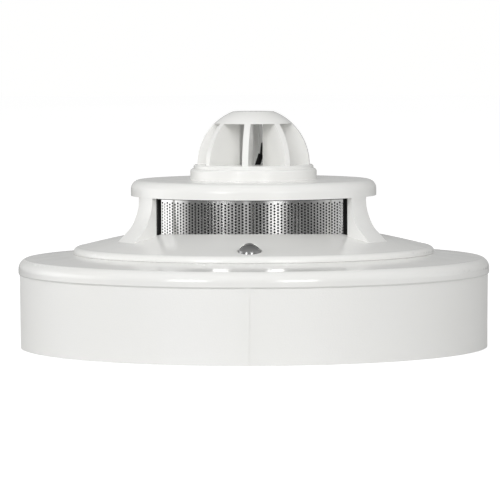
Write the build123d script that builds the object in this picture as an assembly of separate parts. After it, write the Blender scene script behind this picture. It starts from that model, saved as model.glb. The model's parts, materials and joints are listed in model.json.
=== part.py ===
"""Combined smoke and heat detector on its deep mounting base.

Millimetres, +Z out of the ceiling side towards the thermistor dome, front at -Y.
The origin is the centre of the mounting face. Every separate piece is one STEP.
"""
from build123d import *
from math import atan2, cos, radians, sin, sqrt
import os

# Base, outer shell
SKIRT_R = 51.0            # glossy band, the largest radius
WALL_R = 50.72            # fine-textured wall, set back under the band
WALL_FOOT_R = 50.6
SKIRT_T = 2.0
STEP_Z = 15.9
SHOULDER_R = 2.275
SHOULDER_Z = 17.1         # where the rounded shoulder starts
CREASE_R = 49.6           # where it meets the sloping top
ANNULUS_IN_R = 37.4
ANNULUS_SLOPE = 0.1
RIB_W = 0.8               # raised locating rib down the front of the wall

# Base, inner plate
PLATE_R = 48.4
PLATE_T = 2.2
CABLE_R = 9.0
SLOT_SPACING = 55.6
SLOT_LENGTH = 9.2
SLOT_HALF_W = 2.2
COLLAR_IN_R = 35.3
COLLAR_OUT_R = 37.0
COLLAR_TOP_Z = 16.0
BASE_LUG_Z = 12.8
BASE_LUG_T = 1.5
BASE_LUG_DEG = 18.0
LOCK_TRAVEL_DEG = 20.0

# Terminals, on the plate's diagonals
TERMINAL_R = 26.0
TERMINAL_AZ = (45, 135, 225, 315)
PEDESTAL_TOP_Z = 4.2
BRACKET_T = 0.8
CLAMP_T = 0.9
SCREW_R = 1.6
SCREW_HEAD_R = 3.0
SCREW_HEAD_H = 2.0
LIFT_GAP = 0.05

# Head, rear housing
HOUSING_R = 33.2
HOUSING_T = 1.6
HOUSING_Z = 10.5
HOUSING_TOP_Z = 20.0
HEAD_LUG_R = 34.9
HEAD_LUG_Z = 11.0
HEAD_LUG_T = 1.6
HEAD_LUG_DEG = 16.0
POST_R = 27.0             # radius of the circle the three housing screws stand on
BLADE_IN_R, BLADE_OUT_R = 13.5, 18.5
BLADE_T = 0.6
BLADE_Z = HOUSING_Z - BLADE_T

# Head, circuit board
BOARD_R = 30.8
BOARD_Z = 17.0
BOARD_T = 1.6
BOARD_TOP_Z = BOARD_Z + BOARD_T

# Head, outer cover
RIM_R = 39.1
RIM_EDGE_R = 1.2
RIM_GAP = 0.15            # over the base's sloping top
RIM_TOP_Z = 21.75
DISC_R = 26.6
DISC_LOW_Z = 32.75
DISC_TOP_Z = 36.2
DISC_EDGE_R = 1.95
DISC_UNDER_Z = 34.6
FIN_AZ = (-30, 90, 210)   # behind and beside the front window at -90
FIN_DEG = 13.6
FIN_IN_R = 25.35
NECK_R = 13.7
NECK_TOP_Z = 38.6
NECK_HOLE_R = 11.5
FLOOR_MID = (29.8, 23.65)
FLOOR_SILL = (20.0, 25.5)
FLARE = [(26.5, 31.9), (27.2, 28.6), (28.5, 26.1), (29.9, 24.7), (32.4, 22.6)]
PIPE_R = 34.4             # status light's distance from the axis
PIPE_HEAD_R = 2.5
PIPE_TOP_Z = 24.25

# Smoke chamber, a rounded triangle in plan with one long arc behind each window
ARC_R = 26.7
ARC_SHIFT = 6.1
CORNER_R = 4.0
FOIL_T = 0.2
FOIL_TOP_Z = 32.35
CHAMBER_Z = 22.4
CHAMBER_FLOOR_Z = 24.0
CHAMBER_LID_Z = 31.4
CHAMBER_TOP_Z = 32.9
CORNER_POST_R = (23.15, 24.0)
CORNER_POST_HALF_W = 1.3
VANES = 20
VANE_R = 16.2
OPTIC_Z = 27.5
OPTIC_AZ = (150, 30)      # emitter, then photodiode
OPTIC_IN_R, OPTIC_OUT_R = 6.5, 12.5

# Thermistor cage
CAGE_FLANGE_R = 13.0
CAGE_FLANGE_TOP_Z = 39.4
CAGE_R = 12.22
CAGE_CENTRE_Z = 39.5
CAGE_TOP_Z = 50.9
CAP_Z = 48.3
CAGE_RIBS = 8
CAGE_RIB_T = 1.3
CAGE_RIB_TURN = -6.9
CAGE_BORE_R = 4.2
BEAD_TOP = (1.95, 0.0, 44.1)
SLEEVE_TOP = (1.65, 0.0, 41.6)
LEAD_X, LEAD_Y, LEAD_Z = -0.9, 20.0, 33.75


def ring(r_in, r_out, z0, z1):
    """Round wall or washer between two heights."""
    body = Pos(0, 0, z0) * extrude(Circle(r_out), z1 - z0)
    if r_in > 0:
        body -= Pos(0, 0, z0) * extrude(Circle(r_in), z1 - z0)
    return body


def sector(r_in, r_out, z0, z1, az, width):
    """Piece of a ring, width degrees wide and centred on az."""
    face = make_face(Polyline((r_in, 0, z0), (r_out, 0, z0), (r_out, 0, z1), (r_in, 0, z1), close=True))
    return Rot(0, 0, az - width / 2) * revolve(face, Axis.Z, width)


def polar(r, az, z=0.0):
    """Location at a radius and azimuth, turned to face outwards."""
    return Pos(r * cos(radians(az)), r * sin(radians(az)), z) * Rot(0, 0, az)


def post(r, z0, z1):
    return Pos(0, 0, z0) * extrude(Circle(r), z1 - z0)


def block(x0, x1, y0, y1, z0, z1):
    return Pos((x0 + x1) / 2, (y0 + y1) / 2, (z0 + z1) / 2) * Box(x1 - x0, y1 - y0, z1 - z0)


def turned(*edges):
    """Solid of revolution about Z from the closed outline that the edges make in XZ."""
    return revolve(make_face(Curve() + list(edges)), Axis.Z, 360)


def chamber_plan(grow, z0, z1):
    """Rounded triangle prism: what three large discs share, with its corners rounded."""
    plan = None
    for az in (-90, 30, 150):
        disc = Pos(-ARC_SHIFT * cos(radians(az)), -ARC_SHIFT * sin(radians(az))) * Circle(ARC_R + grow)
        plan = disc if plan is None else plan & disc
    plan = fillet(plan.vertices(), CORNER_R + grow)
    return Pos(0, 0, z0) * extrude(plan, z1 - z0)


# ---------------------------------------------------------------- base
def annulus_z(r):
    """Height of the base's sloping top."""
    centre_r = SKIRT_R - SHOULDER_R
    crease_z = SHOULDER_Z + sqrt(SHOULDER_R ** 2 - (CREASE_R - centre_r) ** 2)
    return crease_z + (CREASE_R - r) * ANNULUS_SLOPE


def base_skirt():
    centre_r = SKIRT_R - SHOULDER_R
    crease = (CREASE_R, 0, annulus_z(CREASE_R))
    turn = atan2(crease[2] - SHOULDER_Z, CREASE_R - centre_r) / 2
    mid = (centre_r + SHOULDER_R * cos(turn), 0, SHOULDER_Z + SHOULDER_R * sin(turn))
    inner_top = (centre_r - 0.6, 0, annulus_z(centre_r - 0.6) - SKIRT_T)
    top_edge = (ANNULUS_IN_R, 0, annulus_z(ANNULUS_IN_R))
    inner_edge = (ANNULUS_IN_R, 0, top_edge[2] - SKIRT_T)
    inner_wall = (WALL_R - SKIRT_T, 0, STEP_Z - 0.6)
    inner_foot = (WALL_FOOT_R - SKIRT_T + 0.1, 0, 0)
    shell = turned(
        Polyline((WALL_FOOT_R, 0, 0), (WALL_R, 0, STEP_Z), (SKIRT_R - 0.12, 0, STEP_Z),
                 (SKIRT_R, 0, STEP_Z + 0.25), (SKIRT_R, 0, SHOULDER_Z)),
        ThreePointArc((SKIRT_R, 0, SHOULDER_Z), mid, crease),
        Polyline(crease, top_edge, inner_edge, inner_top, inner_wall, inner_foot, (WALL_FOOT_R, 0, 0)),
    )
    rib = make_face(Polyline((-RIB_W / 2, 0), (RIB_W / 2, 0), (0.15, -STEP_Z), (-0.15, -STEP_Z), close=True))
    rib = Pos(0, -WALL_R + 1, STEP_Z) * Rot(90, 0, 0) * extrude(rib, 1.5)
    shell += rib & ring(WALL_FOOT_R - 0.5, SKIRT_R - 0.04, 0, STEP_Z)
    for az in (0, 90, 180, 270):
        shell += sector(47.4, WALL_R - SKIRT_T + 0.2, PLATE_T, PLATE_T + 1.6, az + 22, 10)
    return shell


def mounting_base():
    plate = ring(CABLE_R, PLATE_R, 0, PLATE_T)
    plate += ring(COLLAR_IN_R, COLLAR_OUT_R, PLATE_T, COLLAR_TOP_Z)
    plate += ring(CABLE_R, CABLE_R + 1.4, PLATE_T, PLATE_T + 1.6)
    for k in range(12):
        plate += sector(COLLAR_OUT_R - 0.1, 46.5, PLATE_T, 8.0, 15 + 30 * k, 2.2)
    for az in TERMINAL_AZ:
        plate += polar(TERMINAL_R - 2.4, az) * block(-5.4, 6.9, -4.6, 4.6, PLATE_T, PEDESTAL_TOP_Z)
        for side in (-1, 1):
            wall = block(-5.4, 6.9, side * 4.3 - 0.3, side * 4.3 + 0.3, PLATE_T, 8.2)
            plate += polar(TERMINAL_R - 2.4, az) * wall
    lug_in, lug_out = HOUSING_R + 0.35, COLLAR_IN_R + 0.2
    lug_top = BASE_LUG_Z + BASE_LUG_T
    half_head = HEAD_LUG_DEG / 2
    for az in FIN_AZ:
        plate += sector(lug_in, lug_out, BASE_LUG_Z, lug_top, az, BASE_LUG_DEG)
        for stop in (-half_head - 2.2, half_head + LOCK_TRAVEL_DEG + 2.2):
            plate += sector(lug_in, lug_out, 9.0, lug_top, az + stop, 2.6)
        plate += sector(lug_in, lug_out, PLATE_T, 9.0, az - BASE_LUG_DEG / 2 - 1.2, 2.6)
    for side in (-1, 1):
        slot = SlotOverall(SLOT_LENGTH, 2 * SLOT_HALF_W)
        plate -= Pos(side * SLOT_SPACING / 2, 0, -1) * extrude(slot, PLATE_T + 2)
    for az in TERMINAL_AZ:
        plate -= polar(TERMINAL_R, az) * post(SCREW_R + 0.15, 0.8, PEDESTAL_TOP_Z + 1)
    return plate


def terminal_bracket(az):
    """Brass strip under the clamp, with its tapped hole and a rivet hole."""
    strip = block(-7.2, 4.4, -3.9, 3.9, PEDESTAL_TOP_Z, PEDESTAL_TOP_Z + BRACKET_T)
    strip -= post(SCREW_R + 0.08, PEDESTAL_TOP_Z - 1, 10)
    strip -= Pos(-5.4, 2.2, 0) * post(0.9, PEDESTAL_TOP_Z - 1, 10)
    strip -= Pos(-5.4, -2.2, 0) * post(0.9, PEDESTAL_TOP_Z - 1, 10)
    return polar(TERMINAL_R, az) * strip


def terminal_rivets(az):
    """Two hollow-headed rivets that hold spring and strip on the pedestal."""
    low, high = PEDESTAL_TOP_Z, PEDESTAL_TOP_Z + BRACKET_T + 0.4
    rivets = []
    for side in (-2.2, 2.2):
        rivet = post(0.85, low, high) + post(1.5, high, high + 0.6)
        rivets.append(polar(TERMINAL_R, az) * Pos(-5.4, side, 0) * rivet)
    return rivets


def contact_spring(az):
    """Bronze leaf that rises from the strip to touch the head's blade."""
    z = PEDESTAL_TOP_Z + BRACKET_T
    lift = BLADE_Z - 0.1
    points = [(18.7, z), (22.4, z), (22.4, z + 0.4), (18.9, z + 0.4), (15.9, lift), (14.8, lift - 0.05),
              (14.0, lift - 1.0), (14.3, lift - 1.2), (15.1, lift - 0.45), (15.7, lift - 0.42)]
    leaf = make_face(Polyline(*[(r, 0, h) for r, h in points], close=True))
    leaf = Pos(0, 2.9, 0) * extrude(leaf, 5.8, dir=(0, -1, 0))
    for side in (-1, 1):
        leaf -= Pos(15.0, side * 3.7, z) * Box(7.4, 3.0, 20)
    for side in (-2.2, 2.2):
        leaf -= Pos(TERMINAL_R - 5.4, side, 0) * post(0.9, z - 1, z + 2)
    return Rot(0, 0, az) * leaf


def clamp_plate(az):
    """Square pressure plate with two turned-down corners that keep the wire in."""
    z = PEDESTAL_TOP_Z + BRACKET_T + LIFT_GAP
    plate = block(-3.4, 3.4, -3.5, 3.5, z, z + CLAMP_T)
    plate += block(3.4, 4.0, -3.5, 3.5, z + 0.25, z + CLAMP_T + 0.5)
    plate = plate - post(SCREW_R + 0.08, z - 1, z + 3)
    return polar(TERMINAL_R, az) * plate


def terminal_screw(az):
    """Pan-head screw with a cross and slot recess."""
    z = PEDESTAL_TOP_Z + BRACKET_T + LIFT_GAP + CLAMP_T + LIFT_GAP
    head = post(SCREW_HEAD_R, z, z + SCREW_HEAD_H)
    head = fillet(head.edges().group_by(Axis.Z)[-1], 0.8)
    shank = post(SCREW_R, 1.2, z)
    screw = head + chamfer(shank.edges().group_by(Axis.Z)[0], 0.5)
    screw -= Pos(0, 0, z + SCREW_HEAD_H - 0.5) * Box(5.0, 0.9, 1.6)
    screw -= Pos(0, 0, z + SCREW_HEAD_H - 0.5) * Box(0.9, 3.2, 1.6)
    return polar(TERMINAL_R, az) * screw


# ---------------------------------------------------------------- head, rear
def rear_housing():
    cup = ring(0, HOUSING_R, HOUSING_Z, HOUSING_TOP_Z)
    cup -= ring(0, HOUSING_R - HOUSING_T, HOUSING_Z + HOUSING_T, HOUSING_TOP_Z + 1)
    for az in FIN_AZ:
        cup += sector(HOUSING_R - 0.5, HEAD_LUG_R, HEAD_LUG_Z, HEAD_LUG_Z + HEAD_LUG_T, az, HEAD_LUG_DEG)
        cup += polar(POST_R, az) * post(3.2, HOUSING_Z + HOUSING_T - 0.2, BOARD_Z)
        cup -= polar(POST_R, az) * post(1.4, HOUSING_Z - 1, BOARD_Z + 1)
        cup -= polar(POST_R, az) * post(2.7, HOUSING_Z - 1, HOUSING_Z + 2.4)
    for az in TERMINAL_AZ:
        cup -= polar(16.0, az + 4) * post(0.75, HOUSING_Z - 1, HOUSING_Z + 3)
        cup -= polar(16.0, az + 14) * post(0.75, HOUSING_Z - 1, HOUSING_Z + 3)
    for k in range(6):
        cup += sector(19.5, 31.8, HOUSING_Z + HOUSING_T - 0.1, HOUSING_Z + HOUSING_T + 1.2, 60 * k + 20, 2.4)
    return cup


def contact_blade(az):
    """Brass wiping blade under the housing, with a pin up to the board."""
    blade = sector(BLADE_IN_R, BLADE_OUT_R, BLADE_Z, HOUSING_Z, az + 3, 30)
    blade -= polar(16.0, az + 14) * post(0.7, BLADE_Z - 1, HOUSING_Z + 1)
    pin = polar(16.0, az + 4) * post(0.6, HOUSING_Z - 0.1, BOARD_TOP_Z + 0.8)
    return blade + pin


def blade_rivet(az):
    rivet = post(1.1, BLADE_Z - 0.3, BLADE_Z) + post(0.65, BLADE_Z - 0.1, HOUSING_Z + HOUSING_T)
    rivet += post(1.1, HOUSING_Z + HOUSING_T, HOUSING_Z + HOUSING_T + 0.4)
    return polar(16.0, az + 14) * rivet


def housing_screw(az):
    """Self-tapping screw, from below through the housing and board into the cover."""
    head_top = HOUSING_Z + 2.4
    screw = post(2.4, head_top - 1.7, head_top)
    screw = chamfer(screw.edges().group_by(Axis.Z)[0], 0.4)
    screw += post(1.15, head_top - 0.2, 23.0)
    screw -= Pos(0, 0, head_top - 1.7) * Box(3.2, 0.7, 1.6)
    screw -= Pos(0, 0, head_top - 1.7) * Box(0.7, 3.2, 1.6)
    return polar(POST_R, az) * screw


# ---------------------------------------------------------------- head, board
def main_board():
    board = ring(0, BOARD_R, BOARD_Z, BOARD_TOP_Z)
    for az in FIN_AZ:
        board -= polar(POST_R, az) * post(1.4, BOARD_Z - 1, BOARD_TOP_Z + 1)
    for az in TERMINAL_AZ:
        board -= polar(16.0, az + 4) * post(0.7, BOARD_Z - 1, BOARD_TOP_Z + 1)
    return board


def microcontroller():
    """Flat-pack chip with eight bent leads a side."""
    z = BOARD_TOP_Z
    chip = block(-3.5, 3.5, -3.5, 3.5, z + 0.1, z + 1.1)
    for side in range(4):
        for k in range(8):
            y = (k - 3.5) * 0.8
            lead = block(3.4, 4.1, y - 0.15, y + 0.15, z + 0.5, z + 0.7)
            lead += block(4.0, 4.6, y - 0.15, y + 0.15, z, z + 0.2)
            lead += block(4.0, 4.2, y - 0.15, y + 0.15, z, z + 0.7)
            chip += Rot(0, 0, 90 * side) * lead
    return Pos(0, 4.0, 0) * chip


def electrolytic_capacitors():
    cans = []
    for x, y in ((-8.0, 3.0), (7.0, -2.0)):
        can = post(2.5, 12.5, BOARD_Z)
        can = fillet(can.edges().group_by(Axis.Z)[0], 0.5)
        cans.append(Pos(x, y, 0) * can)
    return cans


def small_components():
    """Chip resistors, capacitors and the surge diode on the board's upper face."""
    chips = []
    for k in range(14):
        az = 12 + 360 / 14 * k
        if min(abs((az - f + 180) % 360 - 180) for f in FIN_AZ) < 12:
            continue
        chips.append(polar(24.0, az) * block(-1.0, 1.0, -0.62, 0.62, BOARD_TOP_Z, BOARD_TOP_Z + 0.55))
    for k in range(6):
        chips.append(polar(11.0, 60 * k - 60) * block(-1.6, 1.6, -0.8, 0.8, BOARD_TOP_Z, BOARD_TOP_Z + 0.7))
    return chips


def status_led():
    return Pos(0, -28.7, 0) * block(-1.4, 1.4, -1.1, 1.1, BOARD_TOP_Z, BOARD_TOP_Z + 0.8)


def light_pipe():
    """Smoke-grey pipe that carries the status light out to the front of the cover."""
    foot_z = BOARD_TOP_Z + 0.9
    leg_z0, leg_z1 = HOUSING_TOP_Z + 0.15, HOUSING_TOP_Z + 1.35
    dome = PIPE_TOP_Z - 2.05
    pipe = Pos(0, -PIPE_R, 0) * post(PIPE_HEAD_R, leg_z0, dome)
    cap_r = (PIPE_HEAD_R ** 2 + 2.05 ** 2) / (2 * 2.05)
    ball = Pos(0, -PIPE_R, PIPE_TOP_Z - cap_r) * Sphere(cap_r)
    pipe += ball & (Pos(0, -PIPE_R, 0) * post(PIPE_HEAD_R, dome, PIPE_TOP_Z + 1))
    pipe += block(-1.2, 1.2, -PIPE_R, -27.5, leg_z0, leg_z1)
    pipe += Pos(0, -28.7, 0) * block(-1.2, 1.2, -1.0, 1.2, foot_z, leg_z1)
    return pipe


# ---------------------------------------------------------------- smoke chamber
def optic_tunnel(az):
    """Round tunnel, open to the middle, that holds an optical device."""
    tube = ring(2.1, 3.2, OPTIC_IN_R, OPTIC_OUT_R)
    foot = block(0.1, OPTIC_Z - CHAMBER_FLOOR_Z + 0.1, -3.2, 3.2, OPTIC_IN_R, OPTIC_OUT_R)
    tube += foot - ring(0, 2.6, 0, 20)
    return Rot(0, 0, az) * Pos(0, 0, OPTIC_Z) * Rot(0, 90, 0) * tube


def chamber_base():
    """Chamber floor with the optical tunnels, the spigot below and a post at each corner of the screen."""
    base = chamber_plan(-FOIL_T - 0.1, CHAMBER_Z, CHAMBER_FLOOR_Z)
    base += ring(17.2, 18.4, BOARD_TOP_Z, CHAMBER_Z)
    for az in OPTIC_AZ:
        base += optic_tunnel(az)
        base -= Rot(0, 0, az) * block(13.0, 14.4, -2.0, 2.0, CHAMBER_Z - 1, CHAMBER_FLOOR_Z + 1)
    foot_z = CHAMBER_Z - 0.7
    half_w = CORNER_POST_HALF_W
    for az in FIN_AZ:
        corner = block(19.5, CORNER_POST_R[1], -half_w, half_w, foot_z, CHAMBER_Z)
        corner += block(*CORNER_POST_R, -half_w, half_w, foot_z, CHAMBER_TOP_Z)
        base += polar(0, az) * corner
    base -= Pos(LEAD_X, LEAD_Y, 0) * post(0.95, CHAMBER_Z - 1, CHAMBER_FLOOR_Z + 1)
    return base


def chamber_cover():
    """Lid with the ring of light-trap vanes that hang from it."""
    lid = chamber_plan(-FOIL_T - 0.1, CHAMBER_LID_Z, CHAMBER_TOP_Z)
    low, high = CHAMBER_FLOOR_Z + 0.1, CHAMBER_LID_Z + 0.2
    for k in range(VANES):
        vane = Pos(VANE_R, 0, 0) * Rot(0, 0, 48) * block(0, 3.0, -0.4, 0.4, low, high)
        vane += Pos(VANE_R, 0, 0) * Rot(0, 0, 132) * block(0, 1.6, -0.4, 0.4, low, high)
        lid += Rot(0, 0, 360 / VANES * k + 4) * vane
    lid -= Pos(LEAD_X, LEAD_Y, 0) * post(0.95, CHAMBER_LID_Z - 1, CHAMBER_TOP_Z + 1)
    return lid


def optical_device(az):
    """Small round optical package lying in its tunnel, with two legs to the board."""
    body = Pos(0, 0, OPTIC_IN_R + 1.6) * Sphere(1.9) & ring(0, 1.9, 0, OPTIC_IN_R + 1.6)
    body += ring(0, 1.9, OPTIC_IN_R + 1.6, OPTIC_OUT_R + 0.1)
    body = Rot(0, 0, az) * Pos(0, 0, OPTIC_Z) * Rot(0, 90, 0) * body
    for side in (-1.2, 1.2):
        leg = block(OPTIC_OUT_R - 0.2, 13.9, side - 0.25, side + 0.25, OPTIC_Z - 0.25, OPTIC_Z + 0.25)
        leg += block(13.4, 13.9, side - 0.25, side + 0.25, BOARD_TOP_Z, OPTIC_Z + 0.25)
        body += Rot(0, 0, az) * leg
    return body


def photodiode_shield():
    """Tinned sheet bent over the photodiode's tunnel."""
    tin = block(7.6, 11.6, -3.75, 3.75, CHAMBER_FLOOR_Z, OPTIC_Z + 3.75)
    tin -= block(7.0, 12.0, -3.4, 3.4, CHAMBER_FLOOR_Z - 1, OPTIC_Z + 3.4)
    return Rot(0, 0, OPTIC_AZ[1]) * tin


def insect_screen():
    return chamber_plan(0, CHAMBER_Z, FOIL_TOP_Z) - chamber_plan(-FOIL_T, CHAMBER_Z - 1, FOIL_TOP_Z + 1)


# ---------------------------------------------------------------- head, cover
def cover_floor():
    """Sloping floor of the recess and its rounded rim, with the chamber's opening through it."""
    rim_in = RIM_R - RIM_EDGE_R
    side_z = RIM_TOP_Z - RIM_EDGE_R
    mid = RIM_EDGE_R * sqrt(0.5)
    sill = (FLOOR_SILL[0], 0, FLOOR_SILL[1])
    under = [(20.0, 0, 23.8), (28.8, 0, 22.1), (33.2, 0, 21.0), (37.0, 0, annulus_z(37.0) + RIM_GAP),
             (RIM_R, 0, annulus_z(RIM_R) + RIM_GAP)]
    floor = turned(
        ThreePointArc((rim_in, 0, RIM_TOP_Z), (FLOOR_MID[0], 0, FLOOR_MID[1]), sill),
        Line(sill, under[0]),
        Polyline(*under),
        Line(under[-1], (RIM_R, 0, side_z)),
        ThreePointArc((RIM_R, 0, side_z), (rim_in + mid, 0, side_z + mid), (rim_in, 0, RIM_TOP_Z)),
    )
    return floor - chamber_plan(0.35, 20, 28)


def cover_disc():
    """Top disc with its down-turned lip and the neck that the cage stands on."""
    edge_z = DISC_TOP_Z - DISC_EDGE_R
    mid = DISC_EDGE_R * (1 - sqrt(0.5))
    return turned(
        Line((NECK_HOLE_R, 0, DISC_UNDER_Z), (NECK_HOLE_R, 0, NECK_TOP_Z)),
        Line((NECK_HOLE_R, 0, NECK_TOP_Z), (NECK_R - 0.6, 0, NECK_TOP_Z)),
        ThreePointArc((NECK_R - 0.6, 0, NECK_TOP_Z), (NECK_R - 0.18, 0, NECK_TOP_Z - 0.18),
                      (NECK_R, 0, NECK_TOP_Z - 0.6)),
        Line((NECK_R, 0, NECK_TOP_Z - 0.6), (NECK_R, 0, DISC_TOP_Z)),
        Line((NECK_R, 0, DISC_TOP_Z), (DISC_R - DISC_EDGE_R, 0, DISC_TOP_Z)),
        ThreePointArc((DISC_R - DISC_EDGE_R, 0, DISC_TOP_Z), (DISC_R - mid, 0, DISC_TOP_Z - mid),
                      (DISC_R, 0, edge_z)),
        Line((DISC_R, 0, edge_z), (DISC_R, 0, DISC_LOW_Z)),
        Line((DISC_R, 0, DISC_LOW_Z), (FIN_IN_R, 0, DISC_LOW_Z)),
        Line((FIN_IN_R, 0, DISC_LOW_Z), (FIN_IN_R, 0, DISC_UNDER_Z)),
        Line((FIN_IN_R, 0, DISC_UNDER_Z), (NECK_HOLE_R, 0, DISC_UNDER_Z)),
    )


def cover_fin(az):
    """Flared pillar between two windows, rooted in the floor and in the disc's lip."""
    flare = [(r, 0, z) for r, z in FLARE]
    root_z = DISC_LOW_Z + 1.0
    face = make_face(Curve() + [
        Spline(*flare, tangents=[(0, 0, -1), (1, 0, -0.5)]),
        Polyline(flare[-1], (FIN_IN_R + 0.05, 0, 23.4), (FIN_IN_R + 0.05, 0, root_z),
                 (FLARE[0][0], 0, root_z), flare[0]),
    ])
    return Rot(0, 0, az - FIN_DEG / 2) * revolve(face, Axis.Z, FIN_DEG)


def outer_cover():
    cover = cover_floor() + cover_disc()
    cover += ring(HOUSING_R - HOUSING_T, HOUSING_R, HOUSING_TOP_Z, 21.5)
    for az in FIN_AZ:
        cover += cover_fin(az)
        cover += polar(POST_R, az) * post(2.8, BOARD_TOP_Z, 24.2)
        cover -= polar(POST_R, az) * post(1.2, BOARD_TOP_Z - 1, 23.4)
        half_w = CORNER_POST_HALF_W + 0.15
        cover -= polar(0, az) * block(CORNER_POST_R[0] - 1, CORNER_POST_R[1] + 0.15, -half_w, half_w, 20, 28)
    cover -= Pos(0, -PIPE_R, 0) * post(PIPE_HEAD_R + 0.06, 19, 26)
    cover -= block(-1.3, 1.3, -PIPE_R, -30.0, 19, HOUSING_TOP_Z + 1.45)
    return cover


# ---------------------------------------------------------------- thermistor cage
def thermistor_cage():
    floor_z = NECK_TOP_Z - 0.7
    cage = ring(2.6, CAGE_FLANGE_R, NECK_TOP_Z, CAGE_FLANGE_TOP_Z)
    cage = chamfer(cage.edges().group_by(Axis.Z)[-1].sort_by(SortBy.LENGTH)[-1], 0.25)
    cage += ring(NECK_HOLE_R - 1.3, NECK_HOLE_R - 0.05, DISC_UNDER_Z + 0.2, NECK_TOP_Z)
    cage += ring(2.6, NECK_HOLE_R - 0.1, floor_z, NECK_TOP_Z)
    dome = Pos(0, 0, CAGE_CENTRE_Z) * Sphere(CAGE_R)
    for k in range(CAGE_RIBS):
        rib = block(CAGE_BORE_R, CAGE_R + 1, -CAGE_RIB_T / 2, CAGE_RIB_T / 2, CAGE_FLANGE_TOP_Z - 0.1, CAP_Z + 0.2)
        cage += (Rot(0, 0, -90 + CAGE_RIB_TURN + 360 / CAGE_RIBS * k) * rib) & dome
    cage += dome & ring(0, CAGE_R, CAP_Z, CAGE_TOP_Z)
    return cage


def lead_path(dx):
    return FilletPolyline(
        (LEAD_X + dx, LEAD_Y, BOARD_TOP_Z),
        (LEAD_X + dx, LEAD_Y, LEAD_Z),
        (LEAD_X + dx, 0, LEAD_Z),
        (SLEEVE_TOP[0] + dx, 0, SLEEVE_TOP[2] - 0.1),
        radius=1.6,
    )


def thermistor_leads():
    wires = []
    for dx in (-0.2, 0.2):
        path = lead_path(dx)
        wires.append(sweep(Plane(origin=path @ 0, z_dir=path % 0) * Circle(0.15), path=path))
    return wires


def thermistor_sleeve():
    """Black insulating sleeve over both wires, from under the cage's floor upwards."""
    bend = Vector(LEAD_X, 0, LEAD_Z)
    high = Vector(*SLEEVE_TOP)
    low = bend + (high - bend) * 0.3
    plane = Plane(origin=low, z_dir=high - low)
    sleeve = extrude(plane * Circle(0.58), (high - low).length)
    return sleeve - extrude(plane * Circle(0.42), (high - low).length)


def thermistor_bead():
    """Slim resin-dipped bead at the end of the wires."""
    low = Vector(*SLEEVE_TOP)
    high = Vector(*BEAD_TOP)
    axis = high - low
    plane = Plane(origin=low, z_dir=axis)
    bead = extrude(plane * Circle(0.3), axis.length - 0.25)
    tip = plane * Pos(0, 0, axis.length - 0.25) * Sphere(0.3)
    bead += tip & plane * post(0.5, 0.2, axis.length)
    return bead


def write(name, pieces):
    pieces = list(pieces) if isinstance(pieces, (list, tuple)) else [pieces]
    solids = [solid for piece in pieces for solid in piece.solids()]
    shape = solids[0] if len(solids) == 1 else Compound(children=solids)
    export_step(shape, f"parts/{name}.step")


os.makedirs("parts", exist_ok=True)
write("base_skirt", base_skirt())
write("mounting_base", mounting_base())
write("terminal_brackets", [terminal_bracket(az) for az in TERMINAL_AZ])
write("terminal_rivets", [rivet for az in TERMINAL_AZ for rivet in terminal_rivets(az)])
write("contact_springs", [contact_spring(az) for az in TERMINAL_AZ])
for number, az in enumerate(TERMINAL_AZ, 1):
    write(f"clamp_plate_{number}", clamp_plate(az))
    write(f"terminal_screw_{number}", terminal_screw(az))
write("rear_housing", rear_housing())
write("contact_blades", [contact_blade(az) for az in TERMINAL_AZ])
write("blade_rivets", [blade_rivet(az) for az in TERMINAL_AZ])
write("housing_screws", [housing_screw(az) for az in FIN_AZ])
write("main_board", main_board())
write("microcontroller", microcontroller())
write("electrolytic_capacitors", electrolytic_capacitors())
write("small_components", small_components())
write("status_led", status_led())
write("light_pipe", light_pipe())
write("chamber_base", chamber_base())
write("chamber_cover", chamber_cover())
write("ir_emitter", optical_device(OPTIC_AZ[0]))
write("photodiode", optical_device(OPTIC_AZ[1]))
write("photodiode_shield", photodiode_shield())
write("insect_screen", insect_screen())
write("outer_cover", outer_cover())
write("thermistor_cage", thermistor_cage())
write("thermistor_leads", thermistor_leads())
write("thermistor_sleeve", thermistor_sleeve())
write("thermistor_bead", thermistor_bead())
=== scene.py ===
"""Looks of the combined smoke and heat detector: studio, materials and finely made visible pieces.

Metres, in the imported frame: the mounting face is z = 0, +Z points away from it, and the front is -Y.
"""

import json
import math

import bpy
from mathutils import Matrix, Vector, noise


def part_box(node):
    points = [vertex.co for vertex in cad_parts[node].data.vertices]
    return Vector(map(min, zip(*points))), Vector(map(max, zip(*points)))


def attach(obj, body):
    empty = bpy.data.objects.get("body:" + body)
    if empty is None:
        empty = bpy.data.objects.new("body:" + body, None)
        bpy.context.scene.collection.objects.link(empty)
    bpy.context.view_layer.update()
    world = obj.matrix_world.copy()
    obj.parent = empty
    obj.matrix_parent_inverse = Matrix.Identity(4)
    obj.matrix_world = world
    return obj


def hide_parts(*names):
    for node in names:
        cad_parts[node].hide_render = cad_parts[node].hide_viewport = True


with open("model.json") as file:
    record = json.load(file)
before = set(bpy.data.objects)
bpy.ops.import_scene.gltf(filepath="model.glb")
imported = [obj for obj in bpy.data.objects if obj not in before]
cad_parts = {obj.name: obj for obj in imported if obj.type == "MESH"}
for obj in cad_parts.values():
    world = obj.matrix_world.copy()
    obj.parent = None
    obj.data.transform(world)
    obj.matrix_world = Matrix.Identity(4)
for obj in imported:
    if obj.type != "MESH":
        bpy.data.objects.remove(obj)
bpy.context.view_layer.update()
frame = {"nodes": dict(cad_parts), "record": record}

MM = 0.001
TAU = 2 * math.pi

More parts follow.
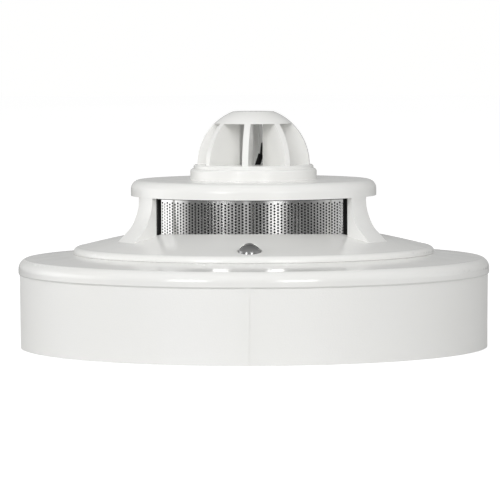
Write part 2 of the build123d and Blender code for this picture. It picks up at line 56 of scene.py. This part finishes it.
# Camera: azimuth from the front, lens and sensor in millimetres
CAMERA_DISTANCE = 831 * MM
CAMERA_HEIGHT = 69.4 * MM
CAMERA_AZIMUTH = math.radians(1.45)
CAMERA_ROLL = math.radians(-0.2)
CAMERA_LENS, SENSOR_WIDTH = 276.2, 36
CLIP_NEAR, CLIP_FAR = 0.05, 30
AIM_HEIGHT = 20.8 * MM
AIM_SIDE = -0.82 * MM

# Screen foil: a rounded triangle in plan, three long arcs joined by short ones
ARC_R = 26.7 * MM
ARC_SHIFT = 6.1 * MM
CORNER_R = 4.0 * MM
FOIL_T = 0.1 * MM
COLUMN_PAIRS = 90         # once round, so that the lapped holes line up
ROW_PITCH = 0.63 * MM
HOLE_R = 0.225 * MM
HOLE_SIDES = 16           # two for each point on the edge of a cell
HOLE_ROWS = 13
TOP_STRIP = 0.45 * MM
SAME_POINT = 0.0005 * MM  # corners nearer than this are one point
LAP_LENGTH = 20.6 * MM
LAP_AZIMUTH = math.radians(-96.2)
TUCK_LENGTH, TUCK_DEPTH = 6 * MM, 2.2 * FOIL_T
# Its dents as depth, width, height and seed: broad kinks and fine wrinkles
DENTS = [(0.08 * MM, 5.2 * MM, 60 * MM, 3.7), (0.028 * MM, 1.5 * MM, 40 * MM, 9.1)]

# Status light: dome, round stem, and the leg back to the board's lamp
DOME_HEIGHT = 1.7 * MM
DOME_ROUNDING, DOME_FULLNESS = 1.4, 0.55
DOME_STEPS, DOME_SIDES = 24, 96
TAPER_HEIGHT, DOME_TAPER = 0.95 * MM, 0.15 * MM
STEM_CHAMFER = 0.2 * MM
LEG_LOW, LEG_HIGH = 0.6 * MM, 1.8 * MM
LEG_HALF_W, LEG_FOOT = 1.2 * MM, 2.2 * MM

# Lip under the head's rim, over the base's sloping top
SKIRT_TOP_R = 37.4 * MM
SKIRT_SLOPE = 0.1
LIP_CLEARANCE = 0.03 * MM
LIP_INSET, LIP_WIDTH, LIP_HEIGHT = 0.05 * MM, 0.65 * MM, 0.3 * MM
LIP_SIDES = 256

# Top of the base's textured wall, and the heights where the painted shade on the smoke-grey dome is darkest
# and lightest
WALL_TOP = 15.9 * MM
DOME_SHADE_DARKEST_Z, DOME_SHADE_LIGHTEST_Z = 24.3 * MM, 22.6 * MM

# Studio: soft boxes as name, azimuth from the front, elevation, distance, width, height, watts
SOFT_BOXES = [
    ("front_box", -8, 37, 1.2, 1.30, 0.80, 8.8),
    ("left_side", -75, 14, 1.3, 0.60, 0.50, 2.4),
    ("right_side", 68, 14, 1.3, 0.60, 0.50, 2.6),
]
LIGHT_AIM = Vector((0, 0, 25 * MM))
FLOOR_HALF = 3.0
FLOOR_DROP = 0.05 * MM
# Reflection screen: how far it reaches to each side, and its lit stripes as azimuth, width, strength
SCREEN_R, SCREEN_TOP = 0.30, 0.11
SCREEN_REACH = 125
SCREEN_SIDES = 64
SCREEN_LEVEL = 0.23
STRIPES = [(-95, 38, 3.0), (-22, 18, 0.66), (-5, 6, 0.80), (21, 15, 1.45), (88, 46, 0.85)]
# Its two bright windows: azimuths and half width in degrees, height and half height in metres
WINDOWS = (-28, 21)
WINDOW_HEIGHT, WINDOW_HALF_W, WINDOW_HALF_H = 0.075, 8.5, 0.034
WINDOW_STRENGTH = 10.0
# Lit strips inside the pillars: azimuths, place, and strength at the left and at the right
PILLARS = (-150, -30, 90)
STRIP_R, STRIP_HALF_W = 25.2 * MM, 2.9 * MM
STRIP_LOW, STRIP_HIGH = 24.2 * MM, 32.3 * MM
STRIP_X = 21 * MM
STRIP_LEVELS = (1.75, 0.75)
# What light from a diffuse bounce finds in place of the screen's and the strips' own strength
SCREEN_FILL = 1.6


# ---------------------------------------------------------------- small helpers
def new_object(name, mesh, body=None):
    """A new piece, which rides a body if one is given."""
    piece = bpy.data.objects.new(name, mesh)
    bpy.context.scene.collection.objects.link(piece)
    if body:
        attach(piece, body)
    return piece


def mesh_from(name, points, faces):
    """A smooth-shaded mesh."""
    mesh = bpy.data.meshes.new(name)
    mesh.from_pydata([tuple(p) for p in points], [], faces)
    mesh.validate()
    mesh.polygons.foreach_set("use_smooth", [True] * len(mesh.polygons))
    mesh.update()
    return mesh


# ---------------------------------------------------------------- materials
class Tree:
    """A node tree with short ways to add and join nodes."""

    def add(self, kind, **settings):
        node = self.tree.nodes.new(kind)
        for key, value in settings.items():
            setattr(node, key, value)
        return node

    def link(self, source, target):
        self.tree.links.new(source, target)

    def ramp(self, source, low, high, low_at=0.3, high_at=0.7):
        """Goes from low to high while the source goes from low_at to high_at."""
        node = self.add("ShaderNodeMapRange")
        self.link(source, node.inputs["Value"])
        limits = {"From Min": low_at, "From Max": high_at, "To Min": low, "To Max": high}
        for key, value in limits.items():
            node.inputs[key].default_value = value
        return node.outputs["Result"]

    def math(self, operation, first, second):
        node = self.add("ShaderNodeMath", operation=operation)
        for socket, value in zip(node.inputs, (first, second)):
            if hasattr(value, "is_output"):
                self.link(value, socket)
            else:
                socket.default_value = value
        return node.outputs["Value"]


class WorldNodes(Tree):
    """The world's nodes, with the direction looked in."""

    def __init__(self, tree):
        self.tree = tree
        tree.nodes.clear()
        split = self.add("ShaderNodeSeparateXYZ")
        self.link(self.add("ShaderNodeTexCoord").outputs["Generated"], split.inputs["Vector"])
        self.direction = split.outputs


class Nodes(Tree):
    """A new material's nodes."""

    def __init__(self, name):
        self.material = bpy.data.materials.new(name)
        self.material.use_nodes = True
        self.tree = self.material.node_tree
        self.shader = self.tree.nodes["Principled BSDF"]
        self.coords = self.add("ShaderNodeTexCoord").outputs["Object"]

    def set(self, **values):
        for key, value in values.items():
            self.shader.inputs[key.replace("_", " ")].default_value = value

    def noise(self, scale, detail=2.0, stretch=None):
        node = self.add("ShaderNodeTexNoise")
        node.inputs["Scale"].default_value = scale
        node.inputs["Detail"].default_value = detail
        source = self.coords
        if stretch:
            mapping = self.add("ShaderNodeMapping")
            mapping.inputs["Scale"].default_value = stretch
            self.link(source, mapping.inputs["Vector"])
            source = mapping.outputs["Vector"]
        self.link(source, node.inputs["Vector"])
        return node.outputs["Fac"]

    def blend_colour(self, factor, first, second):
        node = self.add("ShaderNodeMix", data_type="RGBA")
        self.link(factor, node.inputs["Factor"])
        for socket, value in ((node.inputs["A"], first), (node.inputs["B"], second)):
            if hasattr(value, "is_output"):
                self.link(value, socket)
            else:
                socket.default_value = (*value, 1.0)
        return node.outputs["Result"]

    def bump(self, height, depth, strength=1.0, under=None):
        node = self.add("ShaderNodeBump")
        node.inputs["Distance"].default_value = depth
        if hasattr(strength, "is_output"):
            self.link(strength, node.inputs["Strength"])
        else:
            node.inputs["Strength"].default_value = strength
        self.link(height, node.inputs["Height"])
        if under:
            self.link(under, node.inputs["Normal"])
        return node.outputs["Normal"]

    def position(self):
        """X, Y and Z of the point on the piece."""
        split = self.add("ShaderNodeSeparateXYZ")
        self.link(self.coords, split.inputs["Vector"])
        return split.outputs

    def glow(self, strength):
        """Gives off light of this strength, but plain SCREEN_FILL after a diffuse bounce."""
        bounced = self.math("GREATER_THAN", self.add("ShaderNodeLightPath").outputs["Diffuse Depth"], 0.5)
        direct = self.math("MULTIPLY", strength, self.math("SUBTRACT", 1.0, bounced))
        fill = self.math("MULTIPLY", bounced, SCREEN_FILL)
        light = self.add("ShaderNodeEmission")
        self.link(self.math("ADD", direct, fill), light.inputs["Strength"])
        self.link(light.outputs["Emission"], self.tree.nodes["Material Output"].inputs["Surface"])


def white_plastic(name, colour, roughness, shine=0.3, textured_below=None):
    """Moulded white plastic. Below the height textured_below its wall has a fine eroded texture."""
    n = Nodes(name)
    warm = tuple(c * f for c, f in zip(colour, (1.0, 0.997, 0.988)))
    tint = n.ramp(n.noise(45, 3), 0, 1)
    n.link(n.blend_colour(tint, colour, warm), n.shader.inputs["Base Color"])
    gloss = n.ramp(n.noise(160, 4), roughness * 0.85, roughness * 1.15)
    ripple = n.bump(n.noise(420, 2), 0.006 * MM)
    if textured_below is None:
        n.link(gloss, n.shader.inputs["Roughness"])
        n.link(ripple, n.shader.inputs["Normal"])
    else:
        edge = 0.05 * MM
        wall = n.ramp(n.position()["Z"], 1.0, 0.0, textured_below - edge, textured_below + edge)
        rough = n.ramp(wall, 0.0, 0.36, 0.0, 1.0)
        n.link(n.math("ADD", gloss, rough), n.shader.inputs["Roughness"])
        grain = n.bump(n.noise(3200, 3), 0.02 * MM, wall, ripple)
        n.link(grain, n.shader.inputs["Normal"])
    n.set(IOR=1.52, Specular_IOR_Level=shine)
    return n.material


def plain_plastic(name, colour, roughness, grain_scale=2600, grain=0.01 * MM, shine=0.5):
    """Coloured plastic or resin with slightly uneven colour, gloss and surface."""
    n = Nodes(name)
    n.set(Specular_IOR_Level=shine)
    light = tuple(min(1.0, c * 1.25 + 0.004) for c in colour)
    n.link(n.blend_colour(n.ramp(n.noise(90, 3), 0, 1), colour, light), n.shader.inputs["Base Color"])
    n.link(n.ramp(n.noise(300, 3), roughness * 0.8, roughness * 1.2), n.shader.inputs["Roughness"])
    n.link(n.bump(n.noise(grain_scale, 2), grain), n.shader.inputs["Normal"])
    return n.material


def metal(name, colour, roughness, stretch=(1, 1, 12), scale=700, grain=0.004 * MM):
    """Drawn or rolled metal with fine streaks and slightly worn colour."""
    n = Nodes(name)
    worn = tuple(c * 0.86 for c in colour)
    streaks = n.noise(scale, 3, stretch)
    n.link(n.blend_colour(n.ramp(n.noise(220, 4), 0, 1), worn, colour), n.shader.inputs["Base Color"])
    n.link(n.ramp(streaks, roughness * 0.7, roughness * 1.3), n.shader.inputs["Roughness"])
    n.link(n.bump(streaks, grain), n.shader.inputs["Normal"])
    n.set(Metallic=1.0)
    return n.material


def smoke_grey(name):
    """Polished smoke-grey resin that lets a little light through, with painted shade making it darker
    towards the top of the dome.
    """
    n = Nodes(name)
    # Painted shade: the resin's colour darkens towards the top of the dome, in place of the darkening that
    # its clear curved surface gives there
    depth = n.ramp(n.position()["Z"], 0.0, 1.0, DOME_SHADE_LIGHTEST_Z, DOME_SHADE_DARKEST_Z)
    cloud = n.blend_colour(n.ramp(n.noise(300, 2), 0, 1), (0.23, 0.23, 0.23), (0.28, 0.28, 0.275))
    n.link(n.blend_colour(depth, cloud, (0.07, 0.07, 0.07)), n.shader.inputs["Base Color"])
    n.link(n.ramp(n.noise(500, 2), 0.04, 0.08), n.shader.inputs["Roughness"])
    n.set(IOR=1.65, Transmission_Weight=0.25, Coat_Weight=1.0, Coat_Roughness=0.03)
    return n.material


def board_green(name):
    """Green solder mask, lighter and slightly raised over the copper tracks."""
    n = Nodes(name)
    tracks = n.add("ShaderNodeTexVoronoi", feature="DISTANCE_TO_EDGE", distance="MANHATTAN")
    tracks.inputs["Scale"].default_value = 420
    n.link(n.coords, tracks.inputs["Vector"])
    track = n.ramp(tracks.outputs["Distance"], 1, 0, 0.05, 0.09)
    n.link(n.blend_colour(track, (0.010, 0.085, 0.030), (0.022, 0.16, 0.055)), n.shader.inputs["Base Color"])
    n.link(n.ramp(n.noise(300, 2), 0.22, 0.34), n.shader.inputs["Roughness"])
    n.link(n.bump(track, 0.03 * MM), n.shader.inputs["Normal"])
    return n.material


def dress_cad_nodes():
    """Gives every CAD node the material of its record slot."""
    white = (0.87, 0.87, 0.855)
    looks = {
        "white_cover": white_plastic("white_cover", white, 0.17),
        "white_base": white_plastic("white_base", white, 0.13, 0.4, WALL_TOP),
        "white_inner": white_plastic("white_inner", (0.82, 0.82, 0.80), 0.42),
        "black_chamber": plain_plastic("black_chamber", (0.004, 0.004, 0.004), 0.6, shine=0.15),
        "perforated_steel": metal(
            "perforated_steel", (0.68, 0.68, 0.67), 0.13, (3, 3, 0.06), 500, 0.002 * MM),
        "terminal_brass": metal("terminal_brass", (0.78, 0.60, 0.30), 0.24),
        "spring_bronze": metal("spring_bronze", (0.70, 0.50, 0.30), 0.26),
        "zinc_screw": metal("zinc_screw", (0.62, 0.64, 0.66), 0.28, (1, 1, 1), 1500),
        "circuit_board": board_green("circuit_board"),
        "chip_black": plain_plastic("chip_black", (0.018, 0.018, 0.019), 0.5),
        "chip_body": plain_plastic("chip_body", (0.20, 0.15, 0.10), 0.45),
        "capacitor_can": metal("capacitor_can", (0.72, 0.72, 0.73), 0.22),
        "led_package": plain_plastic("led_package", (0.82, 0.80, 0.70), 0.25),
        "smoke_pipe": smoke_grey("smoke_pipe"),
        "dark_resin": plain_plastic(
            "dark_resin", (0.006, 0.006, 0.007), 0.25, 700, 0.004 * MM, shine=0.3),
        "tinned_sheet": metal("tinned_sheet", (0.70, 0.70, 0.68), 0.25),
        "tinned_wire": metal("tinned_wire", (0.72, 0.68, 0.60), 0.25),
        "black_sleeve": plain_plastic("black_sleeve", (0.004, 0.004, 0.004), 0.6, shine=0.15),
    }
    slots = {s["node"]: s["material_slot"] for s in frame["record"]["subparts"]}
    for name, node in frame["nodes"].items():
        node.data.materials.clear()
        node.data.materials.append(looks[slots[name]])
    # The ends of the mirror-like foil would otherwise show this black part
    frame["nodes"]["chamber_base"].visible_glossy = False
    return looks


# ---------------------------------------------------------------- perforated screen
def foil_outline():
    """Arcs of the rounded triangle as centre, radius, first and last angle, and its whole length."""
    sixth = math.radians(60)
    reach = ARC_R - CORNER_R
    corner = (-ARC_SHIFT + math.sqrt(ARC_SHIFT ** 2 + 4 * (reach ** 2 - ARC_SHIFT ** 2))) / 2
    half_arc = sixth - math.asin(ARC_SHIFT * math.sin(2 * sixth) / reach)
    half_corner = sixth - half_arc
    arcs = []
    for window in (-90, 30, 150):
        window = math.radians(window)
        centre = Vector((math.cos(window), math.sin(window))) * -ARC_SHIFT
        arcs.append((centre, ARC_R, window - half_arc, window + half_arc))
        turn = window + sixth
        centre = Vector((math.cos(turn), math.sin(turn))) * corner
        arcs.append((centre, CORNER_R, turn - half_corner, turn + half_corner))
    return arcs, sum(r * (b - a) for _, r, a, b in arcs)


def foil_point(arcs, total, s):
    """Point and outward normal at length s along the outline."""
    s %= total
    for centre, r, a, b in arcs:
        span = r * (b - a)
        if s <= span:
            angle = a + s / r
            normal = Vector((math.cos(angle), math.sin(angle)))
            return centre + normal * r, normal
        s -= span
    return foil_point(arcs, total, 0)


def lap_start(arcs, total):
    """Length along the outline at the lap's azimuth."""
    steps = 2000
    miss = []
    for k in range(steps):
        point, _ = foil_point(arcs, total, total * k / steps)
        gap = (math.atan2(point.y, point.x) - LAP_AZIMUTH + math.pi) % TAU - math.pi
        miss.append((abs(gap), total * k / steps))
    return min(miss)[1]


def foil_dent(s, z):
    """How far the thin foil lies inside its true outline: soft kinks and wrinkles left by handling."""
    dent = 0
    for depth, width, height, seed in DENTS:
        wave = noise.noise(Vector((s / width, z / height, seed)))
        dent += depth * (0.5 + 0.5 * wave)
    return dent


class Foil:
    """Points and faces of the foil, made cell by cell at length s along its outline and height z."""

    def __init__(self):
        self.arcs, self.total = foil_outline()
        self.start = lap_start(self.arcs, self.total)
        self.pitch = self.total / (2 * COLUMN_PAIRS)
        self.half_w, self.half_h = self.pitch / 2, ROW_PITCH / 2
        self.points, self.faces, self.index = [], [], {}

    def vertex(self, s, z):
        """Number of the point at s and z, which is made when first asked for."""
        key = (round(s / SAME_POINT), round(z / SAME_POINT))
        if key not in self.index:
            self.index[key] = len(self.points)
            point, normal = foil_point(self.arcs, self.total, self.start + s)
            lapped = min(1.0, max(0.0, (s - (self.total - TUCK_LENGTH)) / TUCK_LENGTH))
            point = point - normal * (foil_dent(self.start + s, z) + lapped * TUCK_DEPTH)
            self.points.append((point.x, point.y, z))
        return self.index[key]

    def perforated_cell(self, s, z):
        """Eight points round the edge of one cell, joined to the rim of its round hole."""
        edge = [(1, 0), (1, 1), (0, 1), (-1, 1), (-1, 0), (-1, -1), (0, -1), (1, -1)]
        rim = [self.vertex(s + a * self.half_w, z + b * self.half_h) for a, b in edge]
        turns = [TAU * k / HOLE_SIDES for k in range(HOLE_SIDES)]
        hole = [self.vertex(s + HOLE_R * math.cos(t), z + HOLE_R * math.sin(t)) for t in turns]
        for k in range(8):
            after = (k + 1) % 8
            self.faces.append([rim[k], rim[after], hole[2 * after], hole[2 * k + 1], hole[2 * k]])

    def plain_strip(self, s, z0, z1, joints):
        """Plain foil above or below a column; joints are the heights where a neighbour's cell ends."""
        across = [s - self.half_w, s, s + self.half_w]
        outline = [(a, z0) for a in across] + [(across[2], z) for z in joints]
        outline += [(a, z1) for a in reversed(across)] + [(across[0], z) for z in reversed(joints)]
        self.faces.append([self.vertex(a, z) for a, z in outline])

    def column(self, number, low, high):
        """One column of holes between its plain strips; every second column is half a row lower."""
        s = (number + 0.5) * self.pitch
        lowered = number % 2
        highest = high - TOP_STRIP - HOLE_R + self.half_h
        top = highest - self.half_h * lowered
        bottom = top - HOLE_ROWS * ROW_PITCH
        for row in range(HOLE_ROWS):
            self.perforated_cell(s, top - self.half_h - row * ROW_PITCH)
        self.plain_strip(s, top, high, [highest] if lowered else [])
        self.plain_strip(s, low, bottom, [] if lowered else [bottom - self.half_h])


def perforated_screen(looks):
    """Thin foil with staggered round holes between two plain strips, lapped over itself once."""
    low, high = (corner[2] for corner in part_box("insect_screen"))
    foil = Foil()
    for number in range(round((foil.total + LAP_LENGTH) / foil.pitch)):
        foil.column(number, low, high)
    mesh = mesh_from("screen", foil.points, foil.faces)
    screen = new_object("perforated_screen", mesh, "head")
    thick = screen.modifiers.new("thickness", "SOLIDIFY")
    thick.thickness = FOIL_T
    thick.offset = -1
    apply_modifiers(screen)
    screen.data.set_sharp_from_angle(angle=math.radians(35))
    screen.data.materials.append(looks["perforated_steel"])
    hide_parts("insect_screen")


# ---------------------------------------------------------------- turned pieces
def light_pipe(looks):
    """Status light's pipe: a slightly pointed dome on a round stem, with a leg back to the board's lamp."""
    low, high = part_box("light_pipe")
    stem_r = (high[0] - low[0]) / 2
    centre_y = low[1] + stem_r
    leg_low, leg_high = low[2] + LEG_LOW, low[2] + LEG_HIGH
    dome_z = high[2] - DOME_HEIGHT
    dome_r = stem_r - DOME_TAPER
    outline = [(stem_r - STEM_CHAMFER, leg_low), (stem_r, leg_low + STEM_CHAMFER)]
    outline += [(stem_r, dome_z - TAPER_HEIGHT), (dome_r, dome_z)]
    for k in range(1, DOME_STEPS + 1):
        rise = math.sin(math.pi / 2 * k / DOME_STEPS)
        r = dome_r * (1 - rise ** DOME_ROUNDING) ** DOME_FULLNESS
        outline.append((max(0.01 * MM, r), dome_z + DOME_HEIGHT * rise))
    points, faces = lathe(outline, (0, centre_y), DOME_SIDES)
    add_box(points, faces, (-LEG_HALF_W, centre_y, leg_low), (LEG_HALF_W, high[1], leg_high))
    add_box(points, faces, (-LEG_HALF_W, high[1] - LEG_FOOT, low[2]), (LEG_HALF_W, high[1], leg_high))
    pipe = new_object("status_light_pipe", mesh_from("light_pipe", points, faces), "head")
    pipe.data.set_sharp_from_angle(angle=math.radians(40))
    pipe.data.materials.append(looks["smoke_pipe"])
    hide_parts("light_pipe")


def rim_lip(looks):
    """Moulded lip under the head's rim, which almost closes the gap over the base's sloping top."""
    skirt_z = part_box("base_skirt")[1][2]
    rim_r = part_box("outer_cover")[1][0]
    outer = rim_r - LIP_INSET
    inner = outer - LIP_WIDTH

    def skirt_top(r):
        return skirt_z - (r - SKIRT_TOP_R) * SKIRT_SLOPE

    low = [(r, skirt_top(r) + LIP_CLEARANCE) for r in (inner, outer)]
    top = skirt_top(rim_r) + LIP_HEIGHT
    points, faces = lathe(low + [(outer, top), (inner, top)], (0, 0), LIP_SIDES, ring=True)
    lip = new_object("rim_lip", mesh_from("rim_lip", points, faces), "head")
    lip.data.set_sharp_from_angle(angle=math.radians(40))
    lip.data.materials.append(looks["white_cover"])


def lathe(outline, centre, sides, ring=False):
    """Points and faces of an outline turned about a vertical line: a closed ring, or capped at its ends."""
    points, faces = [], []
    turns = [TAU * k / sides for k in range(sides)]
    for r, z in outline:
        points += [(centre[0] + r * math.cos(t), centre[1] + r * math.sin(t), z) for t in turns]
    rows = len(outline)
    for row in range(rows if ring else rows - 1):
        a, b = row * sides, (row + 1) % rows * sides
        faces += [(a + k, a + (k + 1) % sides, b + (k + 1) % sides, b + k) for k in range(sides)]
    if not ring:
        faces.append(tuple(reversed(range(sides))))
        faces.append(tuple(range(len(points) - sides, len(points))))
    return points, faces


def add_box(points, faces, low, high):
    """Adds a box between two corners to the points and faces."""
    first = len(points)
    points += [(x, y, z) for z in (low[2], high[2]) for y in (low[1], high[1]) for x in (low[0], high[0])]
    for face in ((0, 2, 3, 1), (4, 5, 7, 6), (0, 1, 5, 4), (2, 6, 7, 3), (0, 4, 6, 2), (1, 3, 7, 5)):
        faces.append(tuple(first + k for k in face))


def apply_modifiers(piece):
    """Keeps what the modifiers make as the piece's own mesh."""
    bpy.context.view_layer.update()
    depsgraph = bpy.context.evaluated_depsgraph_get()
    mesh = bpy.data.meshes.new_from_object(piece.evaluated_get(depsgraph))
    piece.modifiers.clear()
    piece.data = mesh


# ---------------------------------------------------------------- studio
def camera():
    """Camera at the photographed angle, a long lens slightly above the object."""
    data = bpy.data.cameras.new("camera")
    data.lens = CAMERA_LENS
    data.sensor_width = SENSOR_WIDTH
    data.clip_start = CLIP_NEAR
    data.clip_end = CLIP_FAR
    obj = bpy.data.objects.new("camera", data)
    bpy.context.scene.collection.objects.link(obj)
    back = Vector((math.sin(CAMERA_AZIMUTH), -math.cos(CAMERA_AZIMUTH), 0))
    side = Vector((math.cos(CAMERA_AZIMUTH), math.sin(CAMERA_AZIMUTH), 0))
    obj.location = back * CAMERA_DISTANCE + Vector((0, 0, CAMERA_HEIGHT))
    aim = side * AIM_SIDE + Vector((0, 0, AIM_HEIGHT))
    view = (aim - obj.location).to_track_quat("-Z", "Y")
    obj.rotation_euler = view.to_euler()
    obj.rotation_euler.rotate_axis("Z", CAMERA_ROLL)
    bpy.context.scene.camera = obj


def soft_box(name, azimuth, elevation, distance, width, height, power):
    """Area light that faces the object from an azimuth measured from the front."""
    data = bpy.data.lights.new(name, "AREA")
    data.shape = "RECTANGLE"
    data.size = width
    data.size_y = height
    data.energy = power
    obj = bpy.data.objects.new(name, data)
    bpy.context.scene.collection.objects.link(obj)
    a, e = math.radians(azimuth), math.radians(elevation)
    place = Vector((math.sin(a) * math.cos(e), -math.cos(a) * math.cos(e), math.sin(e))) * distance
    obj.location = LIGHT_AIM + place
    obj.rotation_euler = (LIGHT_AIM - obj.location).to_track_quat("-Z", "Y").to_euler()
    return obj


def world_light():
    """Soft surroundings, brighter low down and at the left; white to the camera, dark behind in gloss."""
    world = bpy.data.worlds.new("studio")
    bpy.context.scene.world = world
    world.use_nodes = True
    n = WorldNodes(world.node_tree)
    rays = n.add("ShaderNodeLightPath")
    by_height = n.ramp(n.direction["Z"], 0.70, 0.30, 0.05, 0.9)
    by_side = n.ramp(n.direction["X"], 1.05, 0.74, -1, 1)
    behind = n.math("MULTIPLY", n.ramp(n.direction["Y"], 0.0, 1.0, -0.3, 0.5), rays.outputs["Is Glossy Ray"])
    behind = n.math("MULTIPLY", behind, n.ramp(n.direction["X"], 0.12, 0.45, -0.6, 0.6))
    level = n.math("MULTIPLY", n.math("MULTIPLY", by_height, by_side), n.math("SUBTRACT", 1.0, behind))
    strength = n.math("MAXIMUM", level, rays.outputs["Is Camera Ray"])
    fill = n.add("ShaderNodeBackground")
    fill.inputs["Color"].default_value = (1.0, 1.0, 0.995, 1)
    n.link(strength, fill.inputs["Strength"])
    n.link(fill.outputs["Background"], n.add("ShaderNodeOutputWorld").inputs["Surface"])


def floor():
    """Plain white table top."""
    corners = [(x * FLOOR_HALF, y * FLOOR_HALF, 0) for x, y in ((-1, -1), (1, -1), (1, 1), (-1, 1))]
    mesh = mesh_from("floor", corners, [(0, 1, 2, 3)])
    piece = new_object("floor", mesh)
    piece.location.z = -FLOOR_DROP
    n = Nodes("floor")
    grey = n.blend_colour(n.ramp(n.noise(3, 2), 0, 1), (0.50, 0.50, 0.50), (0.52, 0.52, 0.52))
    n.link(grey, n.shader.inputs["Base Color"])
    n.set(Roughness=0.9, Specular_IOR_Level=0.0, Emission_Color=(1, 1, 1, 1))
    seen = n.add("ShaderNodeLightPath").outputs["Is Camera Ray"]
    n.link(n.ramp(seen, 0.05, 0.80, 0, 1), n.shader.inputs["Emission Strength"])
    mesh.materials.append(n.material)


def reflection_screen():
    """A low dark card bent round the front, with lit stripes and two windows, seen only in reflections."""
    points = []
    for k in range(SCREEN_SIDES + 1):
        turn = math.radians(-SCREEN_REACH + 2 * SCREEN_REACH * k / SCREEN_SIDES)
        x, y = SCREEN_R * math.sin(turn), -SCREEN_R * math.cos(turn)
        points += [(x, y, 0.0), (x, y, SCREEN_TOP)]
    faces = [(2 * k, 2 * k + 1, 2 * k + 3, 2 * k + 2) for k in range(SCREEN_SIDES)]
    piece = new_object("reflection_screen", mesh_from("reflection_screen", points, faces))
    reflected_only(piece)
    n = Nodes("reflection_screen")
    place = n.position()
    azimuth = n.math("ARCTAN2", place["X"], n.math("MULTIPLY", place["Y"], -1.0))

    def distance(value, centre):
        return n.math("ABSOLUTE", n.math("SUBTRACT", value, centre), 0.0)

    light = None
    for centre, width, strength in STRIPES:
        away = distance(azimuth, math.radians(centre))
        stripe = n.ramp(away, strength, 0.0, math.radians(width * 0.15), math.radians(width))
        light = stripe if light is None else n.math("MAXIMUM", light, stripe)
    rise = distance(place["Z"], WINDOW_HEIGHT)
    in_height = n.ramp(rise, 1.0, 0.0, WINDOW_HALF_H * 0.8, WINDOW_HALF_H * 1.2)
    half = math.radians(WINDOW_HALF_W)
    for centre in WINDOWS:
        away = distance(azimuth, math.radians(centre))
        window = n.ramp(away, WINDOW_STRENGTH, 0.0, half * 0.8, half * 1.2)
        light = n.math("MAXIMUM", light, n.math("MULTIPLY", window, in_height))
    n.glow(n.math("MAXIMUM", light, SCREEN_LEVEL))
    piece.data.materials.append(n.material)


def bounce_strips():
    """Narrow lit strips just inside the three pillars, seen only in the ends of the foil's windows."""
    points = []
    for pillar in PILLARS:
        a = math.radians(pillar)
        out, along = Vector((math.cos(a), math.sin(a), 0)), Vector((-math.sin(a), math.cos(a), 0))
        for w in (-STRIP_HALF_W, STRIP_HALF_W):
            foot = out * STRIP_R + along * w
            points += [foot + Vector((0, 0, z)) for z in (STRIP_LOW, STRIP_HIGH)]
    faces = [(4 * k, 4 * k + 1, 4 * k + 3, 4 * k + 2) for k in range(len(PILLARS))]
    piece = new_object("bounce_strips", mesh_from("bounce_strips", points, faces))
    reflected_only(piece)
    n = Nodes("bounce_strips")
    n.glow(n.ramp(n.position()["X"], *STRIP_LEVELS, -STRIP_X, STRIP_X))
    piece.data.materials.append(n.material)


def reflected_only(piece):
    """Hides the piece from the camera, diffuse light, shadows and transmission, so that it is seen by
    nothing but reflections.
    """
    piece.visible_camera = False
    piece.visible_diffuse = False
    piece.visible_shadow = False
    piece.visible_transmission = False


def studio():
    """Everything round the object; the soft boxes themselves don't show in its gloss."""
    bpy.context.scene.view_settings.view_transform = "Standard"
    world_light()
    floor()
    reflection_screen()
    bounce_strips()
    for box in SOFT_BOXES:
        soft_box(*box).visible_glossy = False


camera()
studio()
looks = dress_cad_nodes()
perforated_screen(looks)
light_pipe(looks)
rim_lip(looks)
